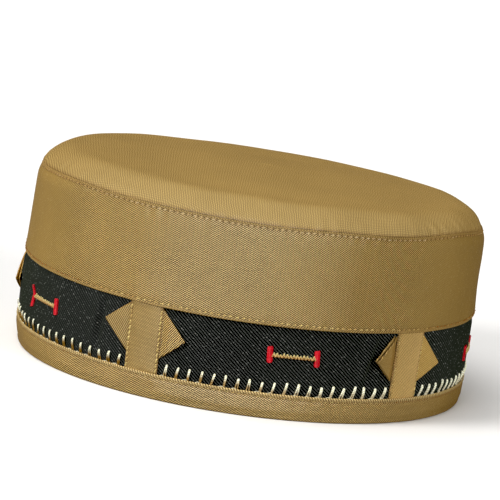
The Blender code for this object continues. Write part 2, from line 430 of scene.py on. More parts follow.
def roundedLoop(corners, arcPoints=5):
    # corners: depth, height, radius of the corner, spacing of the rows that follow it
    path = []
    count = len(corners)
    for i, (depth, height, radius, step) in enumerate(corners):
        here = np.array([depth, height])
        before, after = np.array(corners[i - 1][:2]), np.array(corners[(i + 1) % count][:2])
        toBefore, toAfter = before - here, after - here
        lengths = np.linalg.norm(toBefore), np.linalg.norm(toAfter)
        cut = min(radius, 0.45 * lengths[0], 0.45 * lengths[1])
        start, end = here + toBefore / lengths[0] * cut, here + toAfter / lengths[1] * cut
        for t in np.linspace(0.0, 1.0, arcPoints):
            path.append((1 - t) ** 2 * start + 2 * t * (1 - t) * here + t * t * end)
        nextCut = min(corners[(i + 1) % count][2], 0.45 * lengths[1])
        finish = after - toAfter / lengths[1] * nextCut
        rows = max(1, math.ceil(np.linalg.norm(finish - end) / step))
        path += [end + (finish - end) * k / rows for k in range(1, rows)]
    return np.array(path)


roundColumns = 640


def wallRing(name, piece, relief, material, node):
    # the piece's closed section carried round the cap; relief(place, height) pushes the cloth outward
    section = roundedLoop(np.array(piece["section"]) * mm)
    closed = np.vstack([section, section[:1]])
    lengths = np.concatenate([[0.0], np.cumsum(np.linalg.norm(np.diff(closed, axis=0), axis=1))])
    start = int(np.argmin(np.abs(section[:, 1] - section[:, 1].min()) + section[:, 0]))
    runs = lengths - lengths[start] + section[start, 1]
    around = np.linspace(-girth / 2, girth / 2, roundColumns + 1)
    depth, height = section[:, :1], section[:, 1:]
    points = wallPoint(around[None, :-1], depth - relief(around[None, :-1], height), height)
    faces, corner = gridFaces(len(section), roundColumns, True, True)
    fold = np.min([np.abs(closed[:, 1] - edge * mm) for edge in piece["edges"]], axis=0)
    cloth = np.stack(np.broadcast_arrays(around[None, :], runs[:, None], fold[:, None]), axis=-1) / mm
    addPiece(name, points, faces.tolist(), cloth.reshape(-1, 3)[corner], material, (node,))


def clothBands(rows, place, at):
    # raised and sunk bands: amount, middle and spread in millimetres, then waves along the girth if it varies
    total = 0.0
    for amount, middle, spread, *waves in rows:
        band = amount * mm * bump(at - middle * mm, spread * mm)
        total = total + (band * roundWaves(place, *waves) if waves else band)
    return total


def outwardAt(place):
    angle = angleAt(place)
    normal = np.stack([np.cos(angle) / shape["halfLength"], np.sin(angle) / shape["halfWidth"],
                       np.zeros_like(angle)], axis=-1)
    return normal / np.linalg.norm(normal, axis=-1, keepdims=True)


# Threads: tubes gathered into one mesh
class ThreadBundle:
    def __init__(self, sides):
        self.sides = sides
        self.points, self.faces, self.cloth, self.count = [], [], [], 0

    def add(self, place, depth, rise, radii, flat=1.0, tone=0.0):
        # flat below 1 presses the thread against the cloth
        path = wallPoint(place, depth, rise)
        ahead = np.gradient(path, axis=0)
        ahead /= np.linalg.norm(ahead, axis=1)[:, None]
        side = np.cross(ahead, outwardAt(place))
        side /= np.linalg.norm(side, axis=1)[:, None]
        up = np.cross(side, ahead)
        turns = np.linspace(0.0, 1.0, self.sides + 1)
        wave = fullTurn * turns[:-1]
        rows = len(path)
        thick = np.broadcast_to(radii, rows)[:, None, None]
        ring = (side[:, None] * np.cos(wave)[:, None] + up[:, None] * (flat * np.sin(wave))[:, None]) * thick
        faces, corner = tubeFaces(rows, self.sides)
        length = np.concatenate([[0.0], np.cumsum(np.linalg.norm(np.diff(path, axis=0), axis=1))]) / mm
        tones = np.broadcast_to(tone, rows)
        cloth = np.stack(np.broadcast_arrays(length[:, None], turns[None, :], tones[:, None]), axis=-1)
        self.points.append((path[:, None] + ring).reshape(-1, 3))
        self.faces += [[k + self.count for k in face] for face in faces]
        self.cloth.append(cloth.reshape(-1, 3)[corner].reshape(-1, 3))
        for row in (0, rows - 1):
            self.cloth.append(np.tile([length[row], 0.0, tones[row]], (self.sides, 1)))
        self.count += rows * self.sides

    def finish(self, name, material, slot):
        addPiece(name, np.concatenate(self.points), self.faces, np.concatenate(self.cloth), material)


# Camera, floor and lights
cameraSetup = {
    "target": (0.0, 0.0, 0.04248), "azimuth": -4.25, "elevation": 12.32, "roll": 8.62,
    "distance": 1.3216, "lens": 213.6, "aimRight": -0.00063, "aimUp": 0.01006,
}
light = {
    "floorColour": (246, 246, 246), "floorBounce": (150, 148, 144), "floorSize": 8.0, "blackPoint": 0.012,
    "worldColour": (255, 255, 255), "worldStrength": 0.10,
    # name, azimuth from the front towards +X, elevation, soft width in degrees, strength, colour, gloss only
    "suns": (
        ("keyLight", -64.0, 26.0, 20.0, 2.4, (255, 254, 252), False),
        ("frontLight", 50.0, 20.0, 30.0, 1.6, (255, 253, 250), False),
        ("topLight", -70.0, 72.0, 50.0, 2.1, (255, 253, 250), False),
        ("glossLight", -22.0, 5.0, 36.0, 12.0, (255, 252, 248), True),
    ),
}


def direction(azimuth, elevation):
    # degrees from the front towards +X, and up
    turn, lift = math.radians(azimuth), math.radians(elevation)
    return Vector((math.sin(turn) * math.cos(lift), -math.cos(turn) * math.cos(lift), math.sin(lift)))


def makeCamera():
    roll = math.radians(cameraSetup["roll"])
    back = direction(cameraSetup["azimuth"], cameraSetup["elevation"])
    target = Vector(cameraSetup["target"])
    place = target + back * cameraSetup["distance"]
    level = (-back).cross(Vector((0.0, 0.0, 1.0))).normalized()
    upright = level.cross(-back)
    right = level * math.cos(roll) + upright * math.sin(roll)
    up = upright * math.cos(roll) - level * math.sin(roll)
    aim = target + right * cameraSetup["aimRight"] + up * cameraSetup["aimUp"]
    back = (place - aim).normalized()
    right = up.cross(back).normalized()
    up = back.cross(right)
    data = bpy.data.cameras.new("camera")
    data.lens = cameraSetup["lens"]
    data.clip_start, data.clip_end = 0.05, 20.0
    camera = bpy.data.objects.new("camera", data)
    camera.matrix_world = Matrix.Translation(place) @ Matrix((right, up, back)).transposed().to_4x4()
    bpy.context.collection.objects.link(camera)
    bpy.context.scene.camera = camera


def makeStudio():
    world = bpy.data.worlds.new("studio")
    world.use_nodes = True
    sky = world.node_tree.nodes["Background"]
    sky.inputs["Color"].default_value = rgb(light["worldColour"])
    sky.inputs["Strength"].default_value = light["worldStrength"]
    bpy.context.scene.world = world
    for name, azimuth, elevation, width, strength, colour, glossOnly in light["suns"]:
        data = bpy.data.lights.new(name, "SUN")
        data.angle, data.energy, data.color = math.radians(width), strength, rgb(colour)[:3]
        towards = direction(azimuth, elevation)
        lamp = bpy.data.objects.new(name, data)
        lamp.location = towards
        lamp.visible_diffuse = not glossOnly
        lamp.rotation_euler = towards.to_track_quat("Z", "Y").to_euler()
        bpy.context.collection.objects.link(lamp)
    half = light["floorSize"] / 2
    mesh = bpy.data.meshes.new("floor")
    corners = [(-half, -half, 0), (half, -half, 0), (half, half, 0), (-half, half, 0)]
    mesh.from_pydata(corners, [], [(0, 1, 2, 3)])
    material, tree, shader = newMaterial("paleFloor", 0.9, 0.1)
    # the floor looks white and throws less light back
    seen = Wire(addNode("ShaderNodeLightPath", {}, tree).outputs["Is Camera Ray"])
    feed(shader.inputs["Base Color"], mixColour(seen, rgb(light["floorBounce"]), rgb(light["floorColour"])))
    mesh.materials.append(material)
    floor = bpy.data.objects.new("floor", mesh)
    bpy.context.collection.objects.link(floor)
    view = bpy.context.scene.view_settings
    view.view_transform = "Standard"
    view.use_curve_mapping = True  # a deep black point, as the studio picture has
    view.curve_mapping.black_level = (light["blackPoint"],) * 3
    view.curve_mapping.update()


print("camera and studio")
makeCamera()
makeStudio()

strap = {
    # across, inward, corner radius and the step of the rows after the corner, in millimetres
    "section": ((-7.5, 0.0, 0.35, 0.7), (7.5, 0.0, 0.35, 1.0), (7.5, 0.8, 0.35, 1.4), (-7.5, 0.8, 0.35, 1.0)),
    "width": 15.0 * mm, "outer": 0.40 * mm, "thickness": 0.80 * mm, "tuckDepth": 0.30 * mm,
    "bottom": 8.6 * mm, "top": 44.5 * mm,
    "flareFrom": 6.0 * mm, "flareTo": 13.0 * mm,  # from a strap's middle, where the cloth over it sinks back
    "puff": 0.10 * mm, "bands": ((-0.12, -6.85, 0.45), (-0.12, 6.85, 0.45)),
    "waves": (0.009, 0.022, 7), "waveTall": 0.08 * mm, "seed": 50,
    # how far each strap's top and bottom lean along the band
    "topLean": (-0.55, 0.10, 0.3, -0.2, 0.2), "bottomLean": (0.45, 0.10, -0.2, 0.2, -0.3),
    # the stitch rows' tone offsets are painted light: the right-hand row is lighter where it faces away from
    # the lamps
    "rows": 40, "stitchOut": 6.85 * mm, "paintedStitchTones": (0.0, -0.30), "stitchPitch": 2.3 * mm,
    "stitchRadius": (0.34 * mm, 0.25 * mm, 0.27 * mm, 0.27 * mm, 0.27 * mm),
    "tones": (1.56, 2.20, 1.4, 1.4, 1.4), "contrasts": (0.66, 0.45, 0.7, 0.7, 0.7),
    "look": dict(tanTwill, walePitch=0.66, waleAngle=40.0, yarnPitch=0.56, yarnDepth=0.95, shadeScale=34.0,
                 wobble=1.2, paintedFacingTint=(1.0, 1.01, 1.12), paintedTurnedTint=(1.0, 0.99, 1.6), lineDark=0.35),
}
frontGap = shape["frontStraps"][1] - shape["frontStraps"][0]
backGap = (girth - frontGap) / (shape["strapCount"] - 1)
places = [shape["frontStraps"][0]]
places += [shape["frontStraps"][1] + k * backGap for k in range(shape["strapCount"] - 1)]


def overStraps(place, amounts):
    # 1 over each strap, falling away at its sides, times that strap's amount
    away = (np.abs(awayFrom(place, centre)) for centre in places)
    return sum(amount * (1.0 - smoothStep(strap["flareFrom"], strap["flareTo"], far))
               for far, amount in zip(away, amounts))


# Sections are depth, height, corner radius and the step of the rows after the corner, in millimetres
print("side panel")
sidePanel = {
    "section": ((0.0, 40.3, 0.42, 1.1), (0.0, 79.1, 0.4, 3.0), (2.4, 79.1, 0.4, 3.0), (2.4, 46.9, 0.2, 3.0),
                (0.85, 46.9, 0.2, 3.0), (0.85, 40.3, 0.42, 3.0)),
    "edges": (40.3, 79.1), "seamLine": 77.85 * mm, "edgeLine": 41.75 * mm,  # the edges' lines of stitching
    "waves": (0.040, 0.110, 7, 11), "waveTall": 0.32 * mm,
    "bands": ((0.13, 76.5, 2.4, 0.0050, 0.0095, 9, 12), (0.10, 41.8, 3.0, 0.0060, 0.0110, 9, 13),
              (-0.22, 77.85, 0.45), (-0.16, 41.75, 0.45), (0.14, 41.0, 0.6)),
    "flare": (0.30, 0.45, 0.5, 0.45, 0.80), "flareTop": 43.3 * mm, "flareEnd": 52.3 * mm,
    # the wall lies flatter at the cap's right end
    "press": 0.4 * mm, "pressAt": 142 * mm, "pressWide": 26 * mm, "pressLevel": 55 * mm, "pressTall": 9 * mm,
    # painted shade between the ribs along the edges and a painted highlight on them
    "look": dict(tanTwill, walePitch=0.69, waleAngle=126.5, edgeWidth=1.7, ribDark=0.3, ribLight=0.5,
                 foldWeave=0.3, tone=1.05, smooth=(-15.0, 70.0, 110.0, 0.3)),
}


def panelRelief(place, height):
    s, low, seam = sidePanel, shape["bandTop"], shape["seam"]
    belly = np.sin(np.clip((height - low) / (seam - low), 0.0, 1.0) * math.pi)
    soft = roundWaves(place, *s["waves"]) * s["waveTall"] * belly
    flare = overStraps(place, s["flare"]) * mm * (1.0 - smoothStep(s["flareTop"], s["flareEnd"], height))
    press = bump(place - s["pressAt"], s["pressWide"]) * bump(height - s["pressLevel"], s["pressTall"])
    bands = clothBands(s["bands"], place, height)
    return soft + bands + flare - s["press"] * press - seamTuck(place, height - seam)


wallRing("sidePanelCloth", sidePanel, panelRelief, makeTwill(
    "sidePanelTwill", sidePanel["look"], ((1, sidePanel["seamLine"], 1.0), (1, sidePanel["edgeLine"], 0.5))),
    "side_panel")

print("black band")
blackBand = {
    "section": ((1.3, 3.3, 0.2, 1.2), (1.3, 46.6, 0.2, 4.0), (2.5, 46.6, 0.2, 4.0), (2.5, 3.3, 0.2, 4.0)),
    "edges": (0.0,), "outer": 1.3 * mm, "sink": 0.02 * mm,
    "waves": (0.022, 0.060, 7, 21), "waveTall": 0.12 * mm,
    "bands": ((0.07, 15.0, 4.0, 0.0050, 0.0100, 9, 22),),
    "swell": 0.9 * mm, "flatFront": 90.0 * mm, "fade": 5.0 * mm,  # none at the front and the edges
    # creases: how deep, how far from a strap's middle and over what reach, their lean and its level
    "crease": 0.16 * mm, "creaseAway": 14.0 * mm, "creaseReach": 8.0 * mm, "creaseLean": 0.45,
    "creaseLevel": 25.0 * mm, "creaseWaves": (0.0055, 0.0100, 9, 23),
    # folds pulled by a strap: its number, millimetres from it, lean; then the ridge and valley of each
    "folds": ((0, -22.3, 0.10), (1, -18.7, 0.23), (2, 18.5, -0.20), (3, -19.0, 0.15), (4, 20.0, -0.10)),
    "foldShape": ((0.45, -3.0, 2.0), (-1.05, 0.0, 1.5)),
    "foldLevel": 26.0 * mm, "foldMiddle": 29.0 * mm, "foldTall": 16.0 * mm,
    "look": dict(tanTwill, walePitch=1.09, waleAngle=50.0, yarnPitch=1.0, yarnDepth=0.5, wobble=0.6,
                 sharp=1.4, crest=(76, 79, 77), paintedSheenCrest=(76, 79, 77), groove=(5, 6, 6), edgeAmount=0.0,
                 # fade: painted light, lighter from the band's right side round to the back
                 contrast=1.0, fade=(-300.0, 320.0, 370.0, 1.25), smooth=(15.0, 66.0, 88.0, 0.45),
                 slub=(160, 162, 158), slubAmount=0.6, shadeScale=30.0, shadeAmount=0.12,
                 paintedTurnedTint=(0.80, 0.88, 0.66), turnedWeave=0.15, roughness=0.85, specular=0.04,
                 relief=0.00012),
}


def bandRelief(place, height):
    b, low, high = blackBand, shape["hemTop"], shape["bandTop"]
    fine = roundWaves(place, *b["waves"]) * b["waveTall"] + clothBands(b["bands"], place, height)
    between = 1.0 - overStraps(place, (1.0,) * shape["strapCount"])
    swell = b["swell"] * between * (1.0 - bump(place, b["flatFront"]))
    near = sum(bump(np.abs(awayFrom(place, centre)) - b["creaseAway"], b["creaseReach"]) for centre in places)
    leant = place + b["creaseLean"] * (height - b["creaseLevel"])
    creases = roundWaves(leant, *b["creaseWaves"]) * b["crease"] * near
    tall = bump(height - b["foldMiddle"], b["foldTall"])
    for number, off, lean in b["folds"]:
        across = awayFrom(place, places[number] + off * mm) - lean * (height - b["foldLevel"])
        creases = creases + clothBands(b["foldShape"], place, across) * tall
    shown = smoothStep(low, low + b["fade"], height) * (1.0 - smoothStep(high - b["fade"], high, height))
    return fine * smoothStep(low, low + 3 * mm, height) + (swell + creases) * shown - b["sink"]


def bandDepth(place, height):
    return blackBand["outer"] - bandRelief(place, height)


wallRing("blackBandCloth", blackBand, bandRelief, makeTwill("blackDenim", blackBand["look"]),
         "black_band")

print("hem")
hem = {
    "section": ((0.0, 0.0, 0.85, 0.8), (0.0, 11.3, 0.42, 1.5), (0.9, 11.3, 0.42, 1.5), (0.9, 3.0, 0.2, 1.5),
                (2.5, 3.0, 0.2, 1.5), (2.5, 0.0, 0.85, 1.5)),
    "edges": (11.3,), "edgeLine": 9.6 * mm, "flap": 0.90 * mm,
    "waves": (0.030, 0.080, 7, 31), "waveTall": 0.16 * mm,
    "bands": ((0.10, 9.8, 2.5, 0.0050, 0.0095, 9, 32), (-0.28, 9.6, 0.45), (0.16, 10.6, 0.6),
              (-0.16, 1.9, 0.40)),
    # the rim is drawn in at the cap's left end
    "press": 0.7 * mm, "pressAt": -146 * mm, "pressWide": 26 * mm,
    "flare": (0.40, 0.40, 0.4, 0.4, 0.4),
    # painted shade between the rolled edge's ribs and a painted highlight on them
    "look": dict(tanTwill, walePitch=0.71, edgeWidth=2.4, edgeAmount=0.8, foldWeave=0.3, ribDark=0.5,
                 ribLight=0.8, ridge=(232, 208, 146), holeDark=0.4, lineDark=0.3, dentDepth=0.8,
                 paintedTurnedTint=(0.66, 0.58, 0.36), tone=1.27, paintedFacingTint=(1.0, 1.03, 1.22),
                 # fade: the hem is darker towards the cap's two ends
                 fade=(-4.0, 88.0, 118.0, 0.84)),
}


def hemRelief(place, height):
    h, top = hem, shape["hemTop"]
    soft = roundWaves(place, *h["waves"]) * h["waveTall"] * smoothStep(0.0, 4 * mm, height)
    low = 1.0 - smoothStep(2 * mm, 8 * mm, height)
    press = h["press"] * bump(place - h["pressAt"], h["pressWide"]) * low
    flare = overStraps(place, h["flare"]) * mm * smoothStep(top - 7 * mm, top - 2 * mm, height)
    return soft + clothBands(h["bands"], place, height) - press + flare


wallRing("hemBandCloth", hem, hemRelief, makeTwill("hemTwill", hem["look"], ((1, hem["edgeLine"], 1.0),)),
         "hem_band")

print("crown")
crown = {
    "shoulderRise": 8.3 * mm, "shoulderRun": 7.2 * mm, "shoulderReach": 15.7 * mm, "shoulderCurve": 2.25,
    "dome": 4.5 * mm, "domeCurve": 1.5, "gap": 0.1 * mm, "thickness": 1.8 * mm, "wall": 2.4 * mm,
    "roll": 0.4 * mm, "rollDrop": 0.25 * mm, "columnWidth": 0.55 * mm,
    # rows of the outer face, denser on the shoulder, and of the inner face, which is flatter
    "shoulderRows": 22, "shoulderBend": 1.25, "shoulderShare": 1.6, "topRows": 46, "topEnd": 0.8 * mm,
    "innerRows": 8, "innerEnd": 2.0 * mm, "innerFlat": 0.80,
    "waves": (0.035, 0.085, 9, 41), "waveTall": 0.34 * mm, "waveFrom": 6.0 * mm, "waveFull": 22.0 * mm,
    "bands": ((0.16, 1.6, 3.2, 0.0055, 0.0105, 9, 42), (0.25, 2.2, 1.8),
              (0.25, 7.0, 7.0, 0.030, 0.080, 7, 43)),
    # fuller and flatter places: degrees, rise and spread, then how far in from the seam and over what reach
    "swells": ((135.0, 0.85, 26.0, 10.0, 9.0), (22.0, 0.50, 20.0, 8.0, 8.0), (0.0, -0.55, 22.0, 1.5, 2.5)),
    "look": dict(tanTwill, waleAngle=180.0, yarnDepth=0.60, yarnPitch=0.80, wobble=1.5, shadeScale=22.0,
                 shadeAmount=0.08, contrast=0.37, specular=0.15, slubAmount=0.10, edge=(150, 100, 44),
                 # painted sheen: the crown is tinted paler and bluer where it faces the eye
                 edgeWidth=1.0, edgeAmount=0.45, turnedWeave=0.9, paintedFacingTint=(1.19, 1.28, 1.80),
                 paintedTurnedTint=(1.04, 1.01, 1.09), relief=0.00010, tone=0.98),
}


def crownPoint(place, run, rise, relief):
    # run is measured inward from the seam; past the shoulder the rings shrink towards the middle
    angle = angleAt(place)
    inset = shape["wallInsets"][-1] + seamTuck(place, run)
    halfX, halfY = shape["halfLength"] - inset, shape["halfWidth"] - inset
    near = np.minimum(run, crown["shoulderRun"])
    left = 1.0 - np.clip((run - crown["shoulderRun"]) / (halfX - crown["shoulderRun"]), 0.0, 1.0)
    x, y = (halfX - near) * left * np.cos(angle), (halfY - near) * left * np.sin(angle)
    lean = shape["leanX"] * x + shape["leanY"] * y
    fade = np.clip(1.0 - run / shape["riseReach"], 0.0, 1.0) ** 2
    out = relief * np.clip(1.0 - run / crown["shoulderRun"], 0.0, 1.0)  # leaning out on the shoulder
    x, y = x + out * np.cos(angle), y + out * np.sin(angle)
    return np.stack([x, y, shape["seam"] + rise + lean + fade * (seamLift(angle, x, y) - lean)
                     + relief * np.clip(0.35 + run / crown["shoulderRun"], 0.0, 1.0)], axis=-1)


def crownRelief(place, run):
    c, angle, inset = crown, angleAt(place), shape["wallInsets"][-1]
    x = (shape["halfLength"] - inset - run) * np.cos(angle)
    y = (shape["halfWidth"] - inset - run) * np.sin(angle)
    relief = flatWaves(x, y, *c["waves"]) * c["waveTall"] * smoothStep(c["waveFrom"], c["waveFull"], run)
    for centre, rise, spread, start, reach in c["swells"]:
        inward = clothBands(((rise, start, reach),), place, run)
        relief = relief + bump(degreesFrom(angle, centre), spread) * inward
    return relief + clothBands(c["bands"], place, run)


crownReach = shape["halfLength"] - shape["wallInsets"][-1]


def crownRise(run):
    left = 1.0 - np.clip(run / crown["shoulderReach"], 0.0, 1.0)
    dome = crown["dome"] * (1.0 - ((crownReach - run) / crownReach) ** crown["domeCurve"])
    return crown["gap"] + crown["shoulderRise"] * (1.0 - left ** crown["shoulderCurve"]) + dome


def crownRows():
    # run, rise, how much of the relief they take: the inner face, the roll at the seam, the outer face
    c = crown
    outerBend, innerBend = c["shoulderRun"] * c["shoulderShare"], c["shoulderRun"] + c["wall"]
    outerRuns = np.concatenate([outerBend * np.linspace(0.0, 1.0, c["shoulderRows"]) ** c["shoulderBend"],
                                np.linspace(outerBend, crownReach - c["topEnd"], c["topRows"])[1:]])
    innerRuns = np.concatenate([np.linspace(c["wall"], innerBend, c["innerRows"]),
                                np.linspace(innerBend, crownReach - c["innerEnd"], 2 * c["innerRows"])[1:]])
    rows = [(run, crownRise(max(run - c["wall"], 0.0)) * c["innerFlat"] if run < innerBend
             else crownRise(run) - c["thickness"], 0.0) for run in innerRuns[::-1]]
    for turn in np.linspace(0.0, math.pi / 2, 5)[:-1]:
        rows.append((c["roll"] * (1.0 - math.sin(turn)), c["gap"] - c["rollDrop"] * math.cos(turn), 0.2))
    return rows + [(run, crownRise(run), 1.0) for run in outerRuns]


def ringCounts(rows):
    # fewer columns towards the middle; one row has at most twice the columns of its neighbour
    counts = []
    for run, _, _ in rows:
        counts.append(roundColumns)
        while counts[-1] > 20 and fullTurn * (crownReach - run) / counts[-1] < crown["columnWidth"]:
            counts[-1] //= 2
    for _ in range(5):
        counts = [max(here, before // 2, after // 2) for here, before, after in
                  zip(counts, counts[:1] + counts[:-1], counts[1:] + counts[-1:])]
    return counts


def makeCrown():
    rows = crownRows()
    counts = ringCounts(rows)
    points, faces = [], []
    for (run, rise, share), count in zip(rows, counts):
        around = np.linspace(-girth / 2, girth / 2, count + 1)[:-1]
        points.append(crownPoint(around, run, rise, crownRelief(around, run) * share))
    firsts = np.concatenate([[0], np.cumsum(counts)]).tolist()
    for first, count, second, nextCount in zip(firsts, counts, firsts[1:], counts[1:]):
        fewer = min(count, nextCount)
        for i in range(fewer):
            j = (i + 1) % fewer
            if count == nextCount:
                faces.append((first + i, first + j, second + j, second + i))
            elif count > nextCount:
                a, b, d = (first + k % count for k in (2 * i, 2 * i + 1, 2 * i + 2))
                faces += [(a, b, second + i), (b, second + j, second + i), (b, d, second + j)]
            else:
                a, b, d = (second + k % nextCount for k in (2 * i, 2 * i + 1, 2 * i + 2))
                faces += [(first + i, b, a), (first + i, first + j, b), (first + j, d, b)]
    faces = [list(face) for face in faces + [range(firsts[1])[::-1], range(firsts[-2], firsts[-1])]]
    flat = np.concatenate(points)
    sheet = np.stack([flat[:, 0], flat[:, 1], np.repeat([run for run, _, _ in rows], counts)], axis=-1) / mm
    addPiece("crownCloth", flat, faces, sheet[np.concatenate(faces)], makeTwill("crownTwill", crown["look"]),
             ("crown",))


makeCrown()

print("straps")


def strapMiddle(number, height):
    share = (height - shape["hemTop"]) / (shape["bandTop"] - shape["hemTop"])
    low, high = strap["bottomLean"][number], strap["topLean"][number]
    return places[number] + (low + (high - low) * share) * mm


def strapDepth(height):
    # sinks under the hem and under the panel
    low, high = shape["hemTop"], shape["bandTop"]
    up = smoothStep(high - 0.6 * mm, high + 1.2 * mm, height)
    down = 1.0 - smoothStep(low - 1.2 * mm, low + 0.6 * mm, height)
    return strap["outer"] + strap["tuckDepth"] * (up + down)


def makeStraps():
    s, half = strap, strap["width"] / 2
    across, inward = roundedLoop(np.array(s["section"]) * mm).T
    size = len(across)
    heights = np.linspace(s["bottom"], s["top"], s["rows"])[:, None]
    faces, corner = tubeFaces(s["rows"], size)
    puff = s["puff"] * (1.0 - (across / half) ** 4) + clothBands(s["bands"], 0.0, across)
    wide = np.append(across, across[0])
    rises = np.append(heights, 0.0)[:, None]
    cloth = np.stack(np.broadcast_arrays(wide, rises, half - np.abs(wide)), axis=-1).reshape(-1, 3) / mm
    cloth = np.concatenate([cloth[corner].reshape(-1, 3), cloth[:size][::-1], cloth[:size]])
    stitchLines = [(0, side * s["stitchOut"], 1.0) for side in (-1, 1)]
    for number in range(shape["strapCount"]):
        wave = flatWaves(across, heights, *s["waves"], s["seed"] + number) * s["waveTall"]
        depth = strapDepth(heights) + inward - (puff + wave) * (inward < s["thickness"] / 2)
        look = dict(s["look"], tone=s["tones"][number], contrast=s["contrasts"][number])
        addPiece(f"strapCloth{number + 1}", wallPoint(strapMiddle(number, heights) + across, depth, heights),
                 faces, cloth, makeTwill(f"strapTwill{number + 1}", look, stitchLines),
                 (f"strap_{number + 1}",))


makeStraps()

print("folded points")
point = {
    "root": 0.85 * mm, "thickness": 0.55 * mm, "reach": 11.4 * mm, "base": 22.8 * mm, "top": 40.1 * mm,
    "under": 1.0 * mm, "steps": 26, "rows": 34, "bend": 0.92, "backDepth": 0.42 * mm, "backStand": 0.55,
    "bow": 0.20 * mm, "blunt": 0.16 * mm, "edgeRound": 0.5 * mm,  # blunt: the tip keeps a little height
    # strap, side: tip stands off, tip's height offset, mouth of the fold, crease beside the strap (mm),
    # reach factor, curl, wale angle, wale pitch, tone, contrast
    "each": {
        (1, "left"): (0.5, 1.5, 0.0, 0.10, 0.965, 1.5, 157.0, 0.75, 1.05, 0.7),
        (1, "right"): (0.2, -1.2, 0.0, 0.45, 0.97, 1.5, 141.0, 0.72, 1.10, 2.9),
        (2, "left"): (2.5, -0.4, 1.5, 1.10, 0.97, 0.9, 150.0, 0.72, 1.12, 0.5),
        (2, "right"): (1.2, -2.6, 0.0, 0.05, 0.95, 1.5, 141.0, 0.72, 1.86, 0.50),
        (3, "left"): (0.5, 0.6, 0.0, 0.20, 1.0, 1.5, 157.0, 0.72, 1.0, 0.6),
        (3, "right"): (1.0, -0.8, 0.5, 0.45, 0.98, 1.2, 141.0, 0.72, 1.0, 0.8),
        (4, "left"): (0.9, 0.4, 0.6, 0.30, 0.98, 1.2, 157.0, 0.72, 1.0, 0.6),
        (4, "right"): (0.6, -1.0, 0.0, 0.20, 1.0, 1.5, 141.0, 0.72, 1.0, 0.8),
        (5, "left"): (0.7, 0.8, 0.0, 0.20, 1.0, 1.5, 157.0, 0.72, 1.0, 0.6),
        # painted light: its tone of 1.9 lifts a point that faces away from the lamps
        (5, "right"): (2.3, -2.8, 1.2, 0.30, 1.0, 0.9, 141.0, 0.72, 1.9, 0.4),
    },
    "look": dict(tanTwill, edgeWidth=0.8, edgeAmount=0.8, shadeScale=40.0, paintedTurnedTint=(0.80, 0.68, 0.53)),
}


def pointSheet(number, sign, tipOff, tipRise, crease, reach, curl, depth, grow):
    # a pillow-thin triangle whose long side is under the strap; grow lets its upper edge stand out further
    p, half = point, strap["width"] / 2
    share = np.linspace(0.0, 1.0, p["steps"])[:, None] ** p["bend"]
    level = np.linspace(0.0, 1.0, p["rows"])
    low, high = p["top"] - p["base"], p["top"]
    middle = (low + high) / 2 + tipRise
    spread = p["bow"] * np.sin(math.pi * share) + p["blunt"]
    bottom = low + share * (middle - low) - spread
    top = high + share * (middle - high) + spread + grow * np.sin(math.pi * np.clip(share + 0.15, 0.0, 1.0))
    height = bottom + (top - bottom) * level
    away = half - p["under"] + (p["reach"] * reach + p["under"]) * share + grow * 0.35 * level * share
    place = strapMiddle(number, height) + sign * away
    edge = np.minimum(np.minimum(level, 1 - level) * (top - bottom), (1 - share) * p["reach"])
    flank = 1.0 - np.clip(edge / p["edgeRound"], 0.0, 1.0)
    body = p["thickness"] / 2 * np.sqrt(np.clip(1.0 - flank ** 2, 0.0, 1.0))
    depth = depth - (tipOff + p["root"]) * share ** curl + crease * bump(away - half - 0.5 * mm, 1.5 * mm)
    cloth = np.stack(np.broadcast_arrays(sign * away, height, edge), axis=-1).reshape(-1, 3) / mm
    return [wallPoint(place, depth - body, height), wallPoint(place, depth + body, height)], cloth


def makePoints():
    p = point
    rows, columns = p["steps"], p["rows"]
    size = rows * columns
    grid = np.arange(size).reshape(rows, columns)
    rim = np.concatenate([grid[0], grid[1:, -1], grid[-1, -2::-1], grid[-2:0:-1, 0]])
    quads = gridFaces(rows, columns, False, False)[0]
    band = np.stack([rim, np.roll(rim, -1), np.roll(rim, -1) + size, rim + size], axis=-1)
    every = np.concatenate([quads, quads[:, ::-1] + size, band])
    for (number, side), (*measures, reach, curl, waleAngle, walePitch, tone, contrast) in p["each"].items():
        tipOff, tipRise, mouth, crease = (measure * mm for measure in measures)
        sign = -1.0 if side == "left" else 1.0
        turned = every if sign < 0 else every[:, ::-1]
        layers = [(tipOff, p["root"], 0.0)]
        if mouth:  # the fold's back layer lies nearer the band and shows past the front one
            layers.append((tipOff * p["backStand"], p["root"] + p["backDepth"], mouth))
        points, faces, cloth = [], [], []
        for layer, (off, depth, grow) in enumerate(layers):
            grids, sheet = pointSheet(number - 1, sign, off, tipRise, crease, reach, curl, depth, grow)
            points += grids
            faces += (turned + 2 * size * layer).tolist()
            cloth.append(np.tile(sheet, (2, 1))[turned].reshape(-1, 3))
        name = f"{number}{side.capitalize()}"
        look = dict(p["look"], waleAngle=waleAngle, walePitch=walePitch, tone=tone, contrast=contrast)
        piece = addPiece("pointCloth" + name, np.concatenate(points), faces, np.concatenate(cloth),
                         makeTwill("pointTwill" + name, look), (f"point_{number}_{side}",))
        weld = bmesh.new()  # the two faces of the cloth share their edge
        weld.from_mesh(piece.data)
        bmesh.ops.remove_doubles(weld, verts=weld.verts, dist=1e-7)
        weld.to_mesh(piece.data)
        weld.free()


makePoints()

print("stitching")
plainThread = dict(plyPitch=0.7, roughness=0.60, specular=0.2, relief=0.00008)
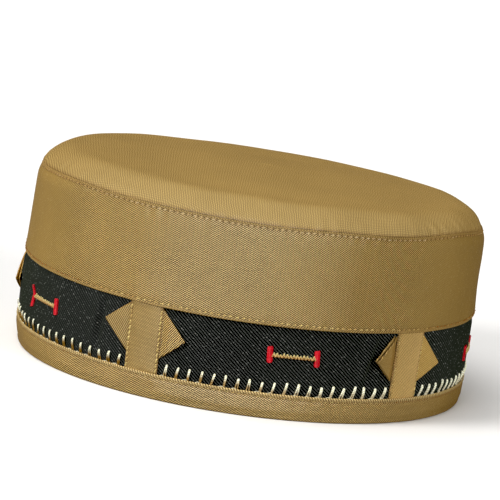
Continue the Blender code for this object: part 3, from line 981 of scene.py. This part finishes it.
# between: painted shade in the grooves between the plies
thread = {
    "seam": dict(plainThread, light=(246, 228, 180), deep=(192, 154, 92), between=(150, 124, 86),
                 plyPitch=0.6),
    "gold": dict(plainThread, light=(255, 234, 152), deep=(176, 118, 44), between=(120, 88, 50)),
    "cord": dict(plainThread, light=(255, 244, 172), deep=(176, 106, 24), between=(160, 124, 78)),
    # painted light: the cream thread glows by itself
    "cream": dict(light=(252, 255, 232), deep=(150, 112, 28), between=(190, 172, 126), plyPitch=1.05,
                  roughness=0.50, specular=0.3, relief=0.00010, paintedGlow=0.25),
    "red": dict(light=(255, 44, 62), deep=(212, 8, 28), between=(150, 96, 104), plyPitch=0.5,
                roughness=0.42, specular=0.16, relief=0.00006),
}
seamThread, goldThread, cordThread, creamThread, redThread = (
    makeThread(name + "Thread", **look) for name, look in thread.items())
stitchLook = {"length": 1.45 * mm, "radius": 0.27 * mm, "slant": 0.12, "sides": 8, "steps": 9}
# along a stitch, and its thickness: thin where the thread goes through the cloth
stitchShare = np.linspace(-0.5, 0.5, stitchLook["steps"])
stitchFull = np.sqrt(np.clip(1.0 - (2 * stitchShare) ** 4, 0.06, 1.0))


def addStitch(bundle, place, depth, rise, radius, tone):
    # the ends sink into the cloth at this depth
    bundle.add(place, depth - radius * (1.25 * stitchFull - 0.75), rise, radius * stitchFull, 0.85,
               min(max(tone, 0.0), 1.0))


def roundStitches(bundle, height, relief, seed, size):
    # a line of machine stitches round the cap, on the cloth that has this relief
    s = stitchLook
    count = round(girth / stitchPitch)
    dice = np.random.default_rng(seed)
    for k in range(count):
        middle = -girth / 2 + (k + 0.5) * girth / count
        length = s["length"] * dice.uniform(0.88, 1.02)
        place = middle + stitchShare * length
        rise = height + stitchShare * s["slant"] * length + dice.normal(0.0, 0.05) * mm
        radius = s["radius"] * size * dice.uniform(0.9, 1.1)
        tone = dice.uniform(0.0, 0.6) + 0.7 * smoothStep(40 * mm, 100 * mm, abs(middle))
        addStitch(bundle, place, -relief(place, rise), rise, radius, tone)


def strapStitches(bundle):
    dice = np.random.default_rng(64)
    rises = np.arange(shape["hemTop"] + 1.2 * mm, shape["bandTop"] - 0.6 * mm, strap["stitchPitch"])
    for number, side, height in product(range(shape["strapCount"]), (-1, 1), rises):
        length = strap["stitchPitch"] * dice.uniform(0.80, 0.95)
        rise = height + stitchShare * length
        place = strapMiddle(number, rise) + side * strap["stitchOut"]
        place = place + dice.normal(0.0, 0.04) * mm + stitchShare * 0.25 * length
        radius = strap["stitchRadius"][number] * dice.uniform(0.92, 1.08)
        # painted light on the right-hand row
        tone = dice.uniform(0.0, 0.6) + strap["paintedStitchTones"][side > 0]
        addStitch(bundle, place, strapDepth(rise) + 0.08 * mm, rise, radius, tone)


for name, material, fill, values in (
        ("seamStitching", seamThread, roundStitches, (sidePanel["seamLine"], panelRelief, 61, 1.0)),
        ("panelEdgeStitching", goldThread, roundStitches, (sidePanel["edgeLine"], panelRelief, 62, 1.05)),
        ("hemEdgeStitching", goldThread, roundStitches, (hem["edgeLine"], hemRelief, 63, 0.65)),
        ("strapStitching", goldThread, strapStitches, ())):
    bundle = ThreadBundle(stitchLook["sides"])
    fill(bundle, *values)
    bundle.finish(name, material, "gold_thread")

print("whipstitches")
whip = {
    "pitch": 5.183 * mm, "front": -36.63 * mm, "perGap": 20, "height": 4.6 * mm, "heightSpread": 0.30 * mm,
    "radius": (0.26 * mm, 0.40 * mm), "topApart": 0.20 * mm, "footApart": (0.10, 1.50), "stand": 0.40 * mm,
    # lean towards +X, at the left of the front and at its right
    "leans": (0.40, 0.95), "leanSpread": 0.28 * mm, "steps": 26, "sides": 7, "foot": 0.8 * mm,
    "roundEnd": 0.155, "roundSink": 0.25 * mm, "footThin": 0.22, "turnFrom": -90.0 * mm, "turnTo": 100.0 * mm,
    "toneFrom": 0.24, "toneTo": 0.84, "toneShift": (-0.20, 0.15),
    "tailLength": 2.6 * mm, "tailRadius": 0.13 * mm, "tailSteps": 8, "tails": 0.6,
}


def makeWhipstitches():
    # each loop goes up from under the hem, round and back down; a tail runs along the hem's edge
    w, top = whip, shape["hemTop"]
    bundle = ThreadBundle(w["sides"])
    dice = np.random.default_rng(71)
    share = np.linspace(-1.0, 1.0, w["steps"])
    leg = np.clip(np.abs(share) * 1.18 - 0.18, 0.0, 1.0)  # 0 on the loop's round end, 1 at the foot
    arc = np.clip(1.0 - np.abs(share) / w["roundEnd"], 0.0, 1.0)
    along = np.linspace(0.0, 1.0, w["tailSteps"])
    apart = w["topApart"]
    for number, k in product(range(shape["strapCount"]), range(w["perGap"])):
        gap = frontGap if number == 0 else backGap
        start = places[number] + (w["front"] - places[0])
        middle = start + k * w["pitch"] * gap / frontGap + dice.normal(0.0, 0.16) * mm
        tall = w["height"] + dice.normal(0.0, 1.0) * w["heightSpread"]
        turn = smoothStep(w["turnFrom"], w["turnTo"], awayFrom(middle, 0.0))
        lean = np.interp(turn, (0.0, 1.0), w["leans"]) * mm + dice.normal(0.0, 1.0) * w["leanSpread"]
        thick = np.interp(turn, (0.0, 1.0), w["radius"])
        foot = dice.uniform(*w["footApart"]) * mm / 2
        rise = top + tall - apart - (tall - apart + w["foot"]) * leg + apart * np.sin(arc * math.pi / 2)
        side = np.sign(share) * (apart + (foot - apart) * leg) * np.cos(arc * math.pi / 2)
        up = (rise - top) / tall
        place = middle + lean * (up - 0.5) + side
        stand = w["stand"] * np.sin(math.pi * np.clip(up * 0.9, 0.0, 1.0)) - w["roundSink"] * arc
        radius = thick * dice.uniform(0.92, 1.08) * (1.0 - w["footThin"] * leg)
        shift = dice.uniform(*w["toneShift"])
        tone = (1.0 - smoothStep(w["toneFrom"] + shift, w["toneTo"] + shift, up)) * (1.0 - 0.6 * turn ** 2)
        bundle.add(place, bandDepth(place, rise) - thick * 0.5 - stand, rise, radius, 0.95, tone)
        if dice.uniform() > w["tails"]:
            continue
        tail = middle - lean / 2 - w["tailLength"] * dice.uniform(0.6, 1.1) * along
        level = top + 0.12 * mm + 0.22 * mm * np.sin(math.pi * along) - 0.5 * mm * along ** 3
        bundle.add(tail, hem["flap"] * 0.45 - hemRelief(tail, top), level, w["tailRadius"], 1.0, 0.35)
    bundle.finish("whipStitches", creamThread, "cream_thread")


makeWhipstitches()

print("motif")
motif = {
    # place and height of each middle; the two at the back follow the gap's middle
    "middles": ((16.8, 27.9), (133.4, 25.0), (-107.6, 26.6)), "backHeight": 27.3,
    "barTall": 7.05 * mm, "barWide": 2.25 * mm, "barApart": 20.6 * mm, "barLean": -0.09,
    "barStand": 0.80 * mm, "threads": 26, "threadRadius": 0.20 * mm, "baseRadius": 0.32 * mm, "sides": 8,
    "satinLean": 0.14 * mm, "cordDrop": 0.45 * mm, "cordStand": 0.30 * mm, "toothDrop": 0.85 * mm,
    "toothPitch": 1.49 * mm, "toothTall": 1.60 * mm, "toothRadius": 0.30 * mm, "toothStand": 0.42 * mm,
    # one bar bends and thins: motif and side, its path along its height, its height, widths and drop
    "bent": (2, -1), "bentPath": ((0.0, 0.62, 1.0), (-0.2, 1.5, -1.3)), "bentTall": 9.4 * mm,
    "bentWidths": ((0.0, 0.55, 0.72, 1.0), (1.0, 1.0, 0.55, 0.30)), "bentDrop": 0.8 * mm,
}


def makeBar(bars, dice, centre, level, bent):
    # satin threads laid side by side across the bar, shorter at its two ends
    m = motif
    share = np.linspace(-1.0, 1.0, 11)
    stand = m["barStand"] * np.sqrt(np.clip(1.0 - share ** 2, 0.0, 1.0)) ** 0.8
    for k in range(m["threads"]):
        along = (k + 0.5) / m["threads"]
        up = (along - 0.5) * (m["bentTall"] if bent else m["barTall"])
        wide = m["barWide"] / 2 * dice.uniform(0.95, 1.05) * min(1.0, 0.62 + 4.0 * min(along, 1 - along))
        shift = m["barLean"] * up
        if bent:
            wide = wide * np.interp(along, *m["bentWidths"])
            shift = np.interp(along, *m["bentPath"]) * mm
        place = centre + shift + share * wide
        rise = level + up + share * m["satinLean"] + dice.normal(0.0, 0.02) * mm
        bars.add(place, bandDepth(place, rise) + 0.1 * mm - stand, rise, m["threadRadius"], 1.0,
                 dice.uniform(0.0, 0.6))


def makeCord(cords, dice, middle, level):
    # a couched cord along the bottom, with one upright loop of thread after another over it
    m = motif
    inner = m["barApart"] / 2 - m["barWide"] / 2 + 0.3 * mm
    share = np.linspace(-1.0, 1.0, 40)
    place = middle + share * inner
    rise = level - m["cordDrop"] + 0.10 * mm * np.sin(share * 34.0)  # a slight wave
    cords.add(place, bandDepth(place, rise) - m["cordStand"], rise, m["baseRadius"], 0.9, 1.0)
    teeth = round(2 * inner / m["toothPitch"])
    step = 2 * inner / teeth
    along = np.linspace(0.0, 1.0, 9)
    for k in range(teeth):
        left = middle - inner + step * (k + 0.1)
        tall = m["toothTall"] * dice.uniform(0.75, 1.2)
        for climb, across in ((along, 0.42 * along), (1.0 - along, 0.42 + 0.52 * along)):
            place = left + step * across
            rise = level - m["toothDrop"] + tall * climb ** 0.9
            stand = m["toothStand"] * np.sin(math.pi * np.clip(climb + 0.35, 0.0, 1.0)) + 0.15 * mm
            radius = m["toothRadius"] * (1.0 - 0.35 * climb ** 2)
            # painted highlight at each tooth's tip and painted shade towards its foot
            cords.add(place, bandDepth(place, rise) - stand, rise, radius, 1.0, 0.75 * (1.0 - climb) ** 1.1)


def makeMotifs():
    bars, cords = ThreadBundle(motif["sides"]), ThreadBundle(motif["sides"])
    dice = np.random.default_rng(81)
    back = tuple(((places[k] + backGap / 2) / mm, motif["backHeight"]) for k in (2, 3))
    for number, (middle, level) in enumerate(motif["middles"] + back):
        for side in (-1, 1):
            drop = motif["bentDrop"] if (number, side) == motif["bent"] else 0.0
            makeBar(bars, dice, middle * mm + side * motif["barApart"] / 2, level * mm - drop, drop > 0.0)
        makeCord(cords, dice, middle * mm, level * mm)
    bars.finish("motifBars", redThread, "red_thread")
    cords.finish("motifCords", cordThread, "gold_thread")


makeMotifs()
